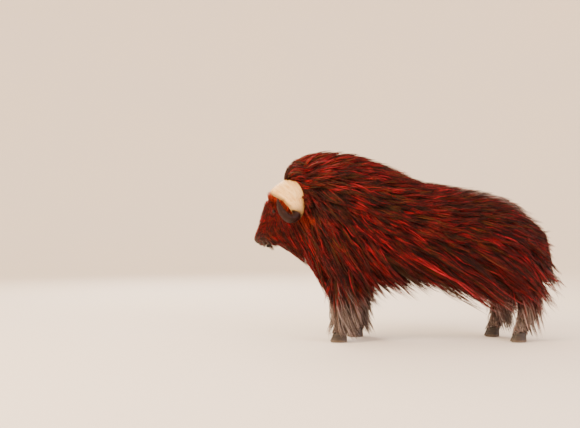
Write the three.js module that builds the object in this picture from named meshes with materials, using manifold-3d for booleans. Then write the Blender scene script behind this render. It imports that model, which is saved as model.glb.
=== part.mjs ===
// A life-size bull muskox on a slow walk, head low, with its long coat blown back by the wind.
// Millimetres, +Z up. The nose points along -X, the left side is at -Y, and the floor is Z = 0.
// Every part of the body is its own closed solid, and neighbours meet face to face across a thin gap.

import * as THREE from "three";
import { mergeVertices } from "three/addons/utils/BufferGeometryUtils.js";
import Module from "manifold-3d";

const wasm = await Module();
wasm.setup();

// Driving dimensions
const GAP = 0.4; // between neighbours
const NECK_CUT = -600; // x of the face between neck and torso
const NECK_FRONT = -886; // x of the front of the neck's core, inside the back of the head
const RUMP_END = 985; // x where the core of the rump closes
const REAR_ROUND = 260; // length over which the rump rounds off
const BELLY_LEVEL = 0.42; // height of the widest line, as a share of the trunk's depth
const FULLNESS = 0.86; // 1 is an ellipse, and less is a squarer section
const BACK_COAT = 44; // height of the lock tips over the core on the back
const SIDE_COAT = 62; // height of the lock tips over the core on the flanks

// A smooth curve through a few [place, value] pairs.
function profile(pairs) {
  const slope = (i) => {
    const [a, b] = [pairs[Math.max(i - 1, 0)], pairs[Math.min(i + 1, pairs.length - 1)]];
    return (b[1] - a[1]) / (b[0] - a[0]);
  };
  return (at) => {
    if (at <= pairs[0][0]) return pairs[0][1];
    if (at >= pairs.at(-1)[0]) return pairs.at(-1)[1];
    const i = pairs.findIndex((p) => p[0] > at) - 1;
    const [x0, y0] = pairs[i];
    const [x1, y1] = pairs[i + 1];
    const span = x1 - x0;
    const t = (at - x0) / span;
    const lift = slope(i) * span * (t - 2 * t ** 2 + t ** 3) + slope(i + 1) * span * (t ** 3 - t ** 2);
    return y0 + (y1 - y0) * (3 * t ** 2 - 2 * t ** 3) + lift;
  };
}

const mix = THREE.MathUtils.lerp;
const power = (value, exponent) => Math.sign(value) * Math.abs(value) ** exponent;
const vector = (x, y, z) => new THREE.Vector3(x, y, z);

// Moves each vertex of a geometry to where place says.
function moved(geometry, place) {
  const position = geometry.getAttribute("position");
  const point = vector(0, 0, 0);
  for (let i = 0; i < position.count; i += 1) {
    const to = place(point.fromBufferAttribute(position, i));
    position.setXYZ(i, to.x, to.y, to.z);
  }
  return geometry;
}

// A geometry as a bare shape: corners, and triangles that face out.
function shape(geometry) {
  const bare = new THREE.BufferGeometry().setIndex(geometry.index);
  bare.setAttribute("position", geometry.getAttribute("position"));
  const merged = mergeVertices(bare, 1e-3);
  const at = merged.getAttribute("position");
  const corners = Array.from({ length: at.count }, (_, k) => vector(0, 0, 0).fromBufferAttribute(at, k));
  const faces = [];
  let volume = 0;
  for (let i = 0; i < merged.index.array.length; i += 3) {
    const [a, b, c] = merged.index.array.slice(i, i + 3);
    if (a === b || b === c || c === a) continue;
    faces.push([a, b, c]);
    volume += corners[a].dot(corners[b].clone().cross(corners[c]));
  }
  return { corners, faces: volume < 0 ? faces.map((face) => face.reverse()) : faces };
}

// A closed tube. place(t, angle, reach) gives a point; reach is 0 at the middle of an end and 1 at the rim.
function tube(sides, steps, place) {
  const cylinder = new THREE.CylinderGeometry(1, 1, 1, sides, steps);
  return shape(moved(cylinder, (p) => place(p.y + 0.5, Math.atan2(p.x, p.z), Math.hypot(p.x, p.z))));
}

// A ball stretched to its three radii, along three directions that are given as one turn.
function ball(centre, radii, turn = new THREE.Quaternion(), sides = 12, steps = 8) {
  const sphere = new THREE.SphereGeometry(1, sides, steps);
  return shape(moved(sphere, (p) => p.clone().multiply(radii).applyQuaternion(turn).add(centre)));
}

// A shape as a solid, with its faces moved out by grow: each corner is pushed until it clears all its faces.
const PUSHES = 80;
function solid({ corners, faces }, grow = 0) {
  const around = corners.map(() => []);
  faces.forEach((face) => {
    const [a, b, c] = face.map((k) => corners[k]);
    const normal = b.clone().sub(a).cross(c.clone().sub(a)).normalize();
    face.forEach((k) => around[k].push(normal));
  });
  const places = corners.flatMap((corner, k) => {
    const move = vector(0, 0, 0);
    for (let i = 0; grow > 0 && i < PUSHES; i += 1) {
      around[k].forEach((normal) => move.addScaledVector(normal, Math.max(0, grow - normal.dot(move))));
    }
    return corner.clone().add(move).toArray();
  });
  const mesh = new wasm.Mesh({
    numProp: 3,
    vertProperties: new Float32Array(places),
    triVerts: new Uint32Array(faces.flat()),
  });
  return new wasm.Manifold(mesh);
}

const join = (shapes, grow = 0) => wasm.Manifold.union(shapes.map((one) => solid(one, grow)));

// The largest closed body of a solid.
function largest(made) {
  return made.decompose().reduce((best, body) => (body.volume() > best.volume() ? body : best));
}

// Trunk: neck and torso share one set of lengthwise curves, in x.
const trunkTop = profile([
  [-930, 1224], [-868, 1328], [-790, 1372], [-640, 1388], [-480, 1388], [-330, 1352],
  [-100, 1262], [60, 1178], [300, 1136], [600, 1082], [780, 1015], [985, 885],
]);
const trunkBottom = profile([
  [-930, 880], [-820, 775], [-700, 655], [-560, 572], [-250, 560], [400, 585], [985, 620],
]);
const trunkHalf = profile([
  [-930, 112], [-860, 130], [-780, 162], [-680, 232], [-560, 278],
  [-300, 305], [200, 325], [600, 305], [985, 240],
]);

function trunkSection(x) {
  const top = trunkTop(x);
  const bottom = trunkBottom(x);
  const middle = bottom + BELLY_LEVEL * (top - bottom);
  const rear = THREE.MathUtils.clamp((x - RUMP_END + REAR_ROUND) / REAR_ROUND, 0, 1);
  const round = (1 - rear ** 2.4) ** (1 / 2.4);
  return {
    middle,
    up: (top - middle) * round,
    down: (middle - bottom) * round,
    half: trunkHalf(x) * round,
  };
}

// A point of the trunk's surface: angle 0 is the back, a quarter turn the flank and a half turn the belly.
function trunkPoint(x, angle, section) {
  const up = power(Math.cos(angle), FULLNESS);
  const y = section.half * power(Math.sin(angle), FULLNESS);
  return vector(x, y, section.middle + (up > 0 ? section.up : section.down) * up);
}

function trunkTube(from, to, steps, closer = 1) {
  return tube(16, steps, (t, angle, reach) => {
    const x = mix(to, from, (1 - t) ** closer);
    const section = trunkSection(x);
    return trunkPoint(x, angle, section).lerp(vector(x, 0, section.middle), 1 - reach);
  });
}

// Head: along runs from the crown to the nose, over stands out from the forehead.
const CROWN = vector(-911, 0, 1266);
const HEAD_DROP = THREE.MathUtils.degToRad(62.4); // how far the face points below the horizon
const ALONG = vector(-Math.cos(HEAD_DROP), 0, -Math.sin(HEAD_DROP));
const OVER = vector(-Math.sin(HEAD_DROP), 0, Math.cos(HEAD_DROP));
const HEAD_BACK = -25; // where the head begins, inside the neck
const HEAD_LENGTH = 572; // where it ends, at the nose

// The turn whose first and third directions are these two.
function turned(first, third) {
  const basis = new THREE.Matrix4().makeBasis(first, third.clone().cross(first), third);
  return new THREE.Quaternion().setFromRotationMatrix(basis);
}

const headTurn = turned(ALONG, OVER);
const headTop = profile([
  [-25, -90], [60, -52], [140, -28], [215, 8], [300, 14], [400, 0], [470, -2], [540, -8], [572, -28],
]);
const headBottom = profile([
  [-25, -215], [120, -262], [260, -275], [340, -245], [430, -188], [500, -152], [572, -118],
]);
const headHalf = profile([
  [-25, 92], [120, 122], [230, 126], [300, 116], [380, 88], [450, 74], [520, 76], [572, 66],
]);

function headAt(along, over, side) {
  return CROWN.clone().addScaledVector(ALONG, along).addScaledVector(OVER, over).add(vector(0, side, 0));
}

const HEAD_LEVEL = 0.52; // height of the widest line, as a share of the head's depth

function headPoint(along, angle, round, reach) {
  const middle = mix(headBottom(along), headTop(along), HEAD_LEVEL);
  const up = power(Math.cos(angle), 0.82);
  const height = up > 0 ? headTop(along) - middle : middle - headBottom(along);
  const width = headHalf(along) * power(Math.sin(angle), 0.86) * (up > 0 ? 1 : 1 - 0.25 * up ** 2);
  return headAt(along, middle + reach * round * height * up, reach * round * width);
}

function headCore(shrink = 1) {
  return tube(16, 12, (t, angle, reach) => {
    const along = mix(HEAD_BACK, HEAD_LENGTH, 0.5 - 0.5 * Math.cos(Math.PI * t));
    const back = THREE.MathUtils.clamp((HEAD_BACK + 70 - along) / 70, 0, 1);
    const nose = THREE.MathUtils.clamp((along - HEAD_LENGTH + 42) / 42, 0, 1);
    const round = Math.sqrt(Math.max(1 - back ** 2, 0)) * Math.max(1 - nose ** 3, 0) ** (1 / 2.2);
    return headPoint(along, angle, round * shrink, reach);
  });
}

// Eyes sit in raised sockets with a ring of lids.
const EYE_ALONG = 296;
const EYE_OVER = -46;
const EYE_SIDE = 104;
const EYE_RADIUS = 21;
const eyeRadii = vector(EYE_RADIUS, EYE_RADIUS, EYE_RADIUS);
const eyeAt = (side, out = 0) => headAt(EYE_ALONG, EYE_OVER, side * (EYE_SIDE + out));
const eyeBall = (side) => ball(eyeAt(side), eyeRadii, headTurn, 9, 6);
const eyeView = (side) => ball(eyeAt(side, 20), vector(36, 30, 30)); // kept clear of hair

function eyeSocket(side) {
  const socket = ball(headAt(EYE_ALONG - 6, EYE_OVER - 2, side * 84), vector(54, 36, 44), headTurn, 10, 6);
  const lids = new THREE.TorusGeometry(EYE_RADIUS + 4, 7, 5, 10);
  const ring = moved(lids, (p) =>
    headAt(EYE_ALONG + p.x * 1.15, EYE_OVER + p.y * 0.8, side * (EYE_SIDE + 11 + p.z)),
  );
  return [socket, shape(ring)];
}

// Nostrils open sideways at the front of the muzzle, over a thin mouth line.
function nostril(side) {
  const splay = new THREE.Quaternion().setFromAxisAngle(vector(0, 0, 1), side * 0.5);
  return ball(headAt(558, -42, side * 46), vector(20, 11, 12), headTurn.clone().multiply(splay), 10, 6);
}

function mouthLine() {
  const blade = moved(new THREE.BoxGeometry(1, 1, 1, 6, 1, 1), (p) => {
    const s = p.x + 0.5; // from the corner of the mouth to the lips
    return headAt(mix(468, 600, s), mix(-152, -96, s ** 0.8) + p.z * 5, p.y * 220);
  });
  return solid(shape(blade)).subtract(solid(headCore(0.9)));
}

const headShapes = () => [headCore(), ...eyeSocket(1), ...eyeSocket(-1)];

function head(hair) {
  const whole = join(headShapes()).add(hair.subtract(join([eyeView(1), eyeView(-1)])));
  const cuts = [1, -1].flatMap((side) => [solid(eyeBall(side), GAP), solid(nostril(side))]);
  return [...cuts, mouthLine()].reduce((rest, cut) => rest.subtract(cut), whole);
}

// Horns: a broad flat boss over the crown that narrows down the side of the head and hooks forward and up.
const HORN_STEPS = 14;
const hornLine = new THREE.CatmullRomCurve3([
  headAt(100, -14, 2.5), headAt(98, -20, 60), headAt(104, -60, 128), headAt(128, -122, 172),
  headAt(182, -182, 194), headAt(246, -212, 222), headAt(286, -180, 264), headAt(276, -116, 298),
  headAt(238, -62, 316), headAt(196, -28, 322),
]);
const hornWidth = profile([
  [0, 108], [0.2, 106], [0.36, 86], [0.5, 62], [0.65, 42], [0.8, 28], [0.93, 13], [1, 3],
]);
const hornDepth = profile([
  [0, 34], [0.15, 40], [0.3, 38], [0.5, 34], [0.65, 30], [0.8, 22], [0.93, 11], [1, 3],
]);

function horn(side) {
  return tube(10, HORN_STEPS, (t, angle, reach) => {
    const centre = hornLine.getPoint(t);
    const level = 1 - THREE.MathUtils.smoothstep(t, 0.04, 0.2); // the boss meets its twin on a flat face
    const tangent = hornLine.getTangent(t).lerp(vector(0, 1, 0), level).normalize();
    const inside = headAt(150, -110, centre.y * 0.6);
    const outward = centre.clone().sub(inside).projectOnPlane(tangent).normalize();
    const across = tangent.clone().cross(outward);
    const point = centre
      .addScaledVector(across, reach * hornWidth(t) * power(Math.sin(angle), 0.9))
      .addScaledVector(outward, reach * hornDepth(t) * power(Math.cos(angle), 0.9));
    return vector(point.x, side * point.y, point.z);
  });
}

// Ears: leaf-shaped cups behind the horns, pointing out and back.
const EAR_LENGTH = 150;
const EAR_HALF = 42;

function ear(side) {
  const root = headAt(118, -178, side * 104);
  const out = vector(0.42, side * 0.86, -0.16).normalize();
  const front = vector(-0.72, side * 0.3, -0.62).projectOnPlane(out).normalize();
  const turn = turned(out, front);
  const middle = root.clone().addScaledVector(out, EAR_LENGTH * 0.48);
  const leaf = ball(middle, vector(EAR_LENGTH / 2, EAR_HALF, 24), turn, 8, 6);
  const cup = ball(
    root.clone().addScaledVector(out, EAR_LENGTH * 0.52).addScaledVector(front, 20),
    vector(EAR_LENGTH * 0.4, EAR_HALF * 0.74, 26),
    turn,
    6,
    5,
  );
  return { leaf, cup };
}

// Legs: each runs from inside the trunk to the pastern over a line of joints, with two claws.
const LEGS = [
  { name: "foreleg_left", side: -1, hoof: -505, hip: -440, hind: false },
  { name: "foreleg_right", side: 1, hoof: -360, hip: -400, hind: false },
  { name: "hindleg_left", side: -1, hoof: 845, hip: 770, hind: true },
  { name: "hindleg_right", side: 1, hoof: 715, hip: 735, hind: true },
];
const STANCE = 168; // from the middle plane to each foot
const HOOF_TOP = 74;

function legLine(leg) {
  const at = (x, z, spread = 0) => vector(x, leg.side * (STANCE + spread), z);
  return new THREE.CatmullRomCurve3(
    leg.hind
      ? [
          at(leg.hip - 40, 690, -24),
          at(leg.hip, 560, -12),
          at(leg.hoof + 62, 410),
          at(leg.hoof + 38, 260),
          at(leg.hoof + 14, 130),
          at(leg.hoof, HOOF_TOP),
        ]
      : [
          at(leg.hip, 690, 6),
          at(mix(leg.hip, leg.hoof, 0.4), 520, 4),
          at(mix(leg.hip, leg.hoof, 0.72), 345),
          at(mix(leg.hip, leg.hoof, 0.86), 220),
          at(leg.hoof + 4, 120),
          at(leg.hoof - 4, HOOF_TOP),
        ],
  );
}

const foreThick = profile([[0, 96], [0.25, 84], [0.5, 62], [0.6, 58], [0.72, 40], [0.84, 46], [1, 47]]);
const hindThick = profile([[0, 118], [0.22, 96], [0.42, 62], [0.5, 58], [0.66, 38], [0.86, 44], [1, 45]]);
const KNEE = 0.56; // share of the leg's line where the upper and lower parts meet
const KNEE_GAP = 0.0008; // the gap there, in the same share

// A limb's surface: a place is a share of its line, and its sections are level ovals.
function limb(line, thick, length = 1.12, width = 0.9) {
  const samples = Array.from({ length: 25 }, (_, k) => line.getPoint(k / 24).z);
  return {
    point(t, angle, reach = 1) {
      const radius = reach * thick(t);
      const around = vector(length * Math.sin(angle), width * Math.cos(angle), 0);
      return line.getPoint(t).addScaledVector(around, radius);
    },
    nearest(p) {
      const apart = samples.map((z) => Math.abs(z - p.z));
      const k = apart.indexOf(Math.min(...apart));
      const middle = line.getPoint(k / 24);
      return [k / 24, Math.atan2((p.x - middle.x) / length, (p.y - middle.y) / width)];
    },
  };
}

const legSurface = (leg) => limb(legLine(leg), leg.hind ? hindThick : foreThick);
const limbTube = (surface, from, to, sides, steps) =>
  tube(sides, steps, (s, angle, reach) => surface.point(mix(from, to, s), angle, reach));

const upperLeg = (leg) => limbTube(legSurface(leg), 0, KNEE, 8, 5);

const lowerLeg = (leg) => limbTube(legSurface(leg), KNEE + KNEE_GAP, 1, 8, 5);

// Two small dew claws stand on the back of each pastern.
function dewClaws(leg) {
  return [-22, 22].map((apart) => {
    const centre = vector(leg.hoof + 47, leg.side * STANCE + apart, 104);
    return ball(centre, vector(17, 11, 21), new THREE.Quaternion(), 6, 4);
  });
}

function claw(leg, outer) {
  const sign = leg.side * (outer ? 1 : -1);
  const size = leg.hind ? 0.9 : 1;
  return tube(9, 2, (t, angle, reach) => {
    const spread = mix(1, 0.72, t);
    const x = leg.hoof - 14 * size + 14 * t - Math.cos(angle) * reach * 62 * size * spread;
    const y = leg.side * STANCE + sign * 30 * size + Math.sin(angle) * reach * 28 * size * spread;
    return vector(x, y, t * (HOOF_TOP - GAP));
  });
}

// Tail: a short stump on the rump, with a switch of hair that the wind lifts.
const tailLine = new THREE.CatmullRomCurve3([
  vector(930, 0, 870), vector(1010, 0, 830), vector(1052, 0, 740), vector(1070, 0, 650),
]);
const tailSurface = limb(tailLine, profile([[0, 52], [0.6, 42], [1, 12]]), 0.8, 1.2);

// The coat: flat locks that root in the body, lie along it and hang free where it falls away under them.
const SUNK = 16; // depth of a lock's root in the body
const STIFF = 0.55; // share of the root's direction that a lock's flat side keeps to its tip
const lockTaper = profile([[0, 0.72], [0.25, 1], [0.55, 0.86], [0.8, 0.5], [1, 0]]);
THREE.MathUtils.seededRandom(43);
const spread = (most) => most * (2 * THREE.MathUtils.seededRandom() - 1);
const radians = THREE.MathUtils.degToRad;
const smooth = THREE.MathUtils.smoothstep;

// A surface gives the point at a place and an angle round it, and the place and angle nearest to a point.
const trunk = {
  point: (x, angle) => trunkPoint(x, angle, trunkSection(x)),
  nearest(p) {
    const x = THREE.MathUtils.clamp(p.x, NECK_FRONT + 5, RUMP_END - 5);
    const { middle, up, down, half } = trunkSection(x);
    const rise = (p.z - middle) / (p.z > middle ? up : down);
    return [x, Math.atan2(power(p.y / half, 1 / FULLNESS), power(rise, 1 / FULLNESS))];
  },
};

const skull = {
  point: (along, angle) => headPoint(along, angle, 1, 1),
  nearest(p) {
    const offset = p.clone().sub(CROWN);
    const along = THREE.MathUtils.clamp(offset.dot(ALONG), HEAD_BACK + 5, HEAD_LENGTH - 5);
    const middle = mix(headBottom(along), headTop(along), HEAD_LEVEL);
    const rise = offset.dot(OVER) - middle;
    const height = rise > 0 ? headTop(along) - middle : middle - headBottom(along);
    return [along, Math.atan2(power(p.y / headHalf(along), 1 / 0.86), power(rise / height, 1 / 0.82))];
  },
};

function normalAt(surface, place, angle, step) {
  const at = surface.point(place, angle);
  const ahead = surface.point(place + step, angle).sub(surface.point(place - step, angle));
  const round = surface.point(place, angle + 0.02).sub(surface.point(place, angle - 0.02));
  const out = ahead.cross(round).normalize();
  return out.dot(at.sub(surface.point(place, angle + Math.PI))) < 0 ? out.negate() : out;
}

// A lock over its path: three corners a ring, the middle one a low ridge.
function lock(path, halfWidth, ridge, tilt) {
  const steps = path.length - 1;
  const cone = new THREE.ConeGeometry(1, 1, 3, steps);
  return shape(
    moved(cone, (p) => {
      const s = p.y + 0.5;
      const { at, along, out } = path[Math.round(s * steps)];
      const up = out.clone().applyAxisAngle(along, tilt * s);
      const rim = s < 1 ? Math.hypot(p.x, p.z) / (1 - s) : 0;
      const angle = Math.atan2(p.x, p.z);
      const wide = (rim * halfWidth * lockTaper(s) * Math.sin(angle)) / Math.sin(Math.PI / 3);
      const high = rim * ridge * (0.4 + 0.6 * lockTaper(s)) * Math.cos(angle);
      return at.clone().addScaledVector(along.clone().cross(up), wide).addScaledVector(up, high);
    }),
  );
}

// Grows one lock from a surface. flow says where hair at a point is drawn, by its weight and by the wind.
function grow(surface, place, angle, options) {
  const { length, depth, halfWidth, ridge, steps, flow, sunk = SUNK, step = 3 } = options;
  const path = [];
  const at = surface.point(place, angle);
  let out = normalAt(surface, place, angle, step);
  const rootOut = out.clone();
  at.addScaledVector(out, -sunk);
  for (let k = 0; k <= steps; k += 1) {
    const along = flow(at, k / steps);
    if (along.dot(out) < 0) along.projectOnPlane(out);
    along.normalize();
    const face = out.clone().lerp(rootOut, STIFF).projectOnPlane(along).normalize();
    path.push({ at: at.clone(), along, out: face });
    at.addScaledVector(along, length / steps);
    const nearest = surface.nearest(at);
    out = normalAt(surface, ...nearest, step);
    const height = at.clone().sub(surface.point(...nearest)).dot(out);
    at.addScaledVector(out, Math.max(0, mix(-sunk, depth, smooth((k + 1) / steps, 0, 0.8)) - height));
  }
  return lock(path, halfWidth, ridge, spread(0.1));
}

// Where the hair of the trunk is drawn: back along the body, and more and more down towards the fringe.
// Degrees below the horizon by height, and what the shoulder, the back and the rump add to them.
const dropByLevel = profile([[0, 2], [0.2, 14], [0.45, 30], [0.7, 48], [1, 64], [1.3, 72]]);
const shoulderDrop = profile([[-900, 30], [-500, 22], [-150, 8], [300, 0]]);
const backDrop = profile([
  [-880, -42], [-780, -24], [-660, -6], [-520, 0], [-320, 10],
  [-120, 17], [60, 12], [260, 5], [600, 5], [760, 10],
]);
const rumpDrop = profile([[640, 0], [800, 12], [925, 34], [1010, 50], [1100, 58]]);
const WIND = 14; // how far, in degrees, the wind lifts a tip

function trunkFlow() {
  const sway = spread(0.12);
  return (p, s) => {
    const { middle, up, down } = trunkSection(THREE.MathUtils.clamp(p.x, NECK_FRONT + 60, RUMP_END - 120));
    const level = (middle + up - p.z) / (up + down);
    const low = smooth(level, 0, 0.5);
    const drop = dropByLevel(level) + mix(backDrop(p.x), shoulderDrop(p.x), low);
    const bend = radians(drop + rumpDrop(p.x) * (1 - drop / 90) - WIND * s * s);
    return vector(Math.cos(bend), sway, -Math.sin(bend));
  };
}

const LOCK_SPACING = 126; // from lock to lock round the body
const RING_END = radians(98); // how far round the body the rings of locks go

// A ring of locks round the trunk at x, shifted by a share of their spacing.
function ring(x, shift) {
  const { up, down, half } = trunkSection(x);
  const girth = RING_END * Math.sqrt(((up + down) ** 2 / 4 + half ** 2) / 2);
  const count = Math.max(2, Math.round(girth / LOCK_SPACING));
  const turns = Array.from({ length: 2 * count + 1 }, (_, j) => (j - count + shift) / count);
  return turns
    .filter((turn) => turn <= 1)
    .map((turn) => {
      const angle = turn * RING_END + spread(0.03);
      return grow(trunk, x + spread(14), angle, {
        length: 345 + spread(36),
        depth: mix(BACK_COAT, SIDE_COAT, Math.sin(angle) ** 2) + spread(8),
        halfWidth: 74 + spread(8),
        ridge: 15,
        steps: 3,
        flow: trunkFlow(),
      });
    });
}

// The fringe hangs at a slant to its hem, which is lower over the legs than under the belly.
const SLANT = 1.12; // length of a lock for each millimetre that it drops
const hem = profile([
  [-1000, 700], [-862, 627], [-747, 554], [-660, 400], [-580, 240], [-500, 200], [-330, 180],
  [-235, 330], [-94, 345], [160, 400], [390, 385], [500, 310], [600, 225], [870, 200],
  [1030, 195], [1100, 280], [1170, 420],
]);
// How far behind its root a tip of the fringe ends.
const fringeReach = profile([[-700, 30], [-540, 110], [900, 110], [970, 165]]);

function fringeLock(x, angle) {
  const root = trunk.point(x, angle);
  return grow(trunk, x, angle, {
    length: (root.z - hem(x + fringeReach(x))) * SLANT + spread(24),
    depth: SIDE_COAT * Math.abs(Math.sin(angle)),
    halfWidth: 70 + spread(8),
    ridge: 15,
    steps: 3,
    flow: trunkFlow(),
  });
}

// Rows of the fringe, from one x to another, on both sides and at one angle round the body.
function fringe(from, to, spacing, angle) {
  const count = Math.round((to - from) / spacing);
  const made = [];
  for (let k = 0; k <= count; k += 1) {
    for (const side of angle < Math.PI ? [-1, 1] : [1]) {
      made.push(fringeLock(mix(from, to, k / count) + spread(14), side * (angle + spread(0.03))));
    }
  }
  return made;
}

const neckLocks = [
  ...ring(-850, 0),
  ...ring(-765, 0.5),
  ...ring(-668, 0),
  ...fringe(-852, -640, 106, radians(116)),
  ...fringe(-858, -640, 109, radians(148)),
  ...fringe(-864, -650, 107, Math.PI),
];
const torsoLocks = [
  ...[-530, -325, -115, 95, 305, 515, 715, 885].flatMap((x, k) => ring(x, k % 2 ? 0.5 : 0)),
  ...fringe(-540, 930, 140, radians(108)),
  ...fringe(-470, 880, 168, radians(128)),
  ...[-128, -99, -70, 70, 99, 128].map((turn) => fringeLock(RUMP_END - 15, radians(turn))),
];

// The hair of the head: short on the face, and longer down the cheeks and under the jaw.
function headFlow() {
  const sway = spread(0.16);
  return () => vector(0.42, sway, -0.9);
}

// One row: its place along the head, its first and last angle, its locks on each side, and their length.
function headRow(along, first, last, count, length) {
  const made = [];
  for (let k = 0; k < count; k += 1) {
    for (const side of [-1, 1]) {
      const angle = side * radians(mix(first, last, count > 1 ? k / (count - 1) : 0) + spread(3));
      made.push(
        grow(skull, along + spread(8), angle, {
          length: length + spread(18),
          depth: 24,
          halfWidth: 36 + spread(5),
          ridge: 10,
          steps: 3,
          flow: headFlow(),
          sunk: 12,
        }),
      );
    }
  }
  return made;
}

const headLocks = [
  ...headRow(182, 12, 56, 2, 150),
  ...headRow(226, 80, 96, 2, 200),
  ...headRow(345, 104, 150, 2, 200),
  ...headRow(440, 122, 168, 2, 140),
];

// The hair of the upper legs hangs past the knees.
const LEG_LOCKS = 6;
function legLocks(leg) {
  const surface = legSurface(leg);
  return Array.from({ length: LEG_LOCKS }, (_, k) => {
    const sway = spread(0.1);
    return grow(surface, 0.3 + spread(0.03), (k / LEG_LOCKS) * 2 * Math.PI, {
      length: (leg.hind ? 330 : 300) + spread(30),
      depth: 26,
      halfWidth: 50,
      ridge: 13,
      steps: 3,
      flow: () => vector(0.2, sway, -0.96),
      step: 0.01,
    });
  });
}

function tailLocks() {
  return [-100, -50, 0, 50, 100].map((degrees) => {
    const angle = Math.PI / 2 + radians(degrees);
    return grow(tailSurface, 0.5 + spread(0.06), angle, {
      length: 400 + spread(40),
      depth: 20,
      halfWidth: 42,
      ridge: 13,
      steps: 3,
      flow: (p, s) => vector(0.16 + 0.3 * s * s, Math.cos(angle) * 0.1, -0.95),
      step: 0.02,
    });
  });
}

// Materials
const paint = (color, roughness) => new THREE.MeshStandardMaterial({ color, roughness, metalness: 0 });
const COAT = paint(0x4a1410, 0.75);
const FACE = paint(0x54201a, 0.8);
const STOCKING = paint(0x6b5040, 0.8);
const KERATIN = paint(0xe8d2a8, 0.4);
const HOOF = paint(0x241c18, 0.5);
const EYE = paint(0x140d0a, 0.08);

// Assembly
const muskox = new THREE.Group();
muskox.name = "muskox";

function add(name, made, material) {
  const body = largest(made);
  const mesh = body.getMesh();
  const geometry = new THREE.BufferGeometry();
  geometry.setAttribute("position", new THREE.BufferAttribute(new Float32Array(mesh.vertProperties), 3));
  geometry.setIndex(new THREE.BufferAttribute(new Uint32Array(mesh.triVerts), 1));
  const part = new THREE.Mesh(geometry, material);
  part.name = name;
  muskox.add(part);
}

const SIDES = [["left", -1], ["right", 1]];
const neckCore = trunkTube(NECK_CUT - GAP / 2, NECK_FRONT, 5);
const torsoCore = trunkTube(NECK_CUT + GAP / 2, RUMP_END, 11, 1.35); // steps closer together at the rump
const trunkClear = solid(neckCore, GAP).add(solid(torsoCore, GAP));
const skullClear = join(headShapes(), GAP);
const hornsClear = join(SIDES.map(([, side]) => horn(side)), GAP);
const earsClear = join(SIDES.map(([, side]) => ear(side).leaf), GAP);
const headClear = wasm.Manifold.union([skullClear, hornsClear, earsClear, join(headLocks, GAP)]);
const neckClear = solid(neckCore, GAP);
const legShapes = LEGS.map((leg) => [upperLeg(leg), ...legLocks(leg)]);
const shinShapes = LEGS.map((leg) => [lowerLeg(leg), ...dewClaws(leg)]);
const legsClear = join([...legShapes.flat(), ...shinShapes.flat()], GAP);
const tailShapes = [limbTube(tailSurface, 0, 1, 8, 4), ...tailLocks()];

for (const [word, side] of SIDES) {
  const { leaf, cup } = ear(side);
  add(`eye_${word}`, solid(eyeBall(side)), EYE);
  add(`horn_${word}`, solid(horn(side)).subtract(skullClear).subtract(neckClear), KERATIN);
  const earRoot = skullClear.add(hornsClear).add(neckClear);
  add(`ear_${word}`, solid(leaf).subtract(solid(cup)).subtract(earRoot), FACE);
}
add("head", head(join(headLocks).subtract(hornsClear).subtract(earsClear)).subtract(neckClear), FACE);
const neckHair = join(neckLocks).subtract(solid(torsoCore, GAP)).subtract(legsClear).subtract(headClear);
add("neck", solid(neckCore).add(neckHair), COAT);
const torsoHair = join(torsoLocks)
  .subtract(neckClear)
  .subtract(join(neckLocks, GAP))
  .subtract(headClear)
  .subtract(legsClear)
  .subtract(join(tailShapes, GAP));
add("torso", solid(torsoCore).add(torsoHair), COAT);
LEGS.forEach((leg, i) => {
  const shinClear = join(shinShapes[i], GAP);
  add(`${leg.name}_upper`, join(legShapes[i]).subtract(trunkClear).subtract(shinClear), COAT);
  add(`${leg.name}_lower`, join(shinShapes[i]), STOCKING);
  add(`${leg.name}_hoof_outer`, solid(claw(leg, true)), HOOF);
  add(`${leg.name}_hoof_inner`, solid(claw(leg, false)), HOOF);
});
add("tail", join(tailShapes).subtract(trunkClear), COAT);

export default muskox;
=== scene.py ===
import math

import bpy
import numpy as np
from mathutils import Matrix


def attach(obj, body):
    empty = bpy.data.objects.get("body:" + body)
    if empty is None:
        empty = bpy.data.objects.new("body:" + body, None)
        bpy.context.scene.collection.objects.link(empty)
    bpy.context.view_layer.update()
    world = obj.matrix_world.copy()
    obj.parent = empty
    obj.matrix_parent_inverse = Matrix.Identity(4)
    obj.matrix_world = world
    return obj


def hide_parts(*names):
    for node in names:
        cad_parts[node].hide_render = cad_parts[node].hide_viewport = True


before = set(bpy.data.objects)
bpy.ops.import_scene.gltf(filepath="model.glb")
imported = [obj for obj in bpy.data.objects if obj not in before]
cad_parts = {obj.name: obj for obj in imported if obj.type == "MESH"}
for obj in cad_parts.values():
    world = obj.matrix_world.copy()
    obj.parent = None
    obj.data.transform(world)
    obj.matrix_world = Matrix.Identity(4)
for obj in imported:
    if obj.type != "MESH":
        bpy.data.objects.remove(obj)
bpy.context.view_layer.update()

# Skin: one closed hide over head, neck, trunk, legs and tail, dark and short haired where it shows.
# Its tubes follow the same lengthwise curves as the solids, in millimetres, and are remeshed into one.
CROWN_FRONT = -926
RUMP_END = 985
REAR_ROUND = 260
REAR_POWER = 2.4
BELLY_LEVEL = 0.42
FULLNESS = 0.86
HEAD_BACK = -25
HEAD_LENGTH = 572
HEAD_LEVEL = 0.52
HEAD_TOP_POWER = 0.82
HEAD_SIDE_POWER = 0.86
BACK_ROUND = 70
NOSE_ROUND = 42
HEAD_DROP = math.radians(62.4)
CROWN = np.array([-911.0, 0.0, 1266.0])
ALONG = np.array([-math.cos(HEAD_DROP), 0.0, -math.sin(HEAD_DROP)])
OVER = np.array([-math.sin(HEAD_DROP), 0.0, math.cos(HEAD_DROP)])
ASIDE = np.array([0.0, 1.0, 0.0])


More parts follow.
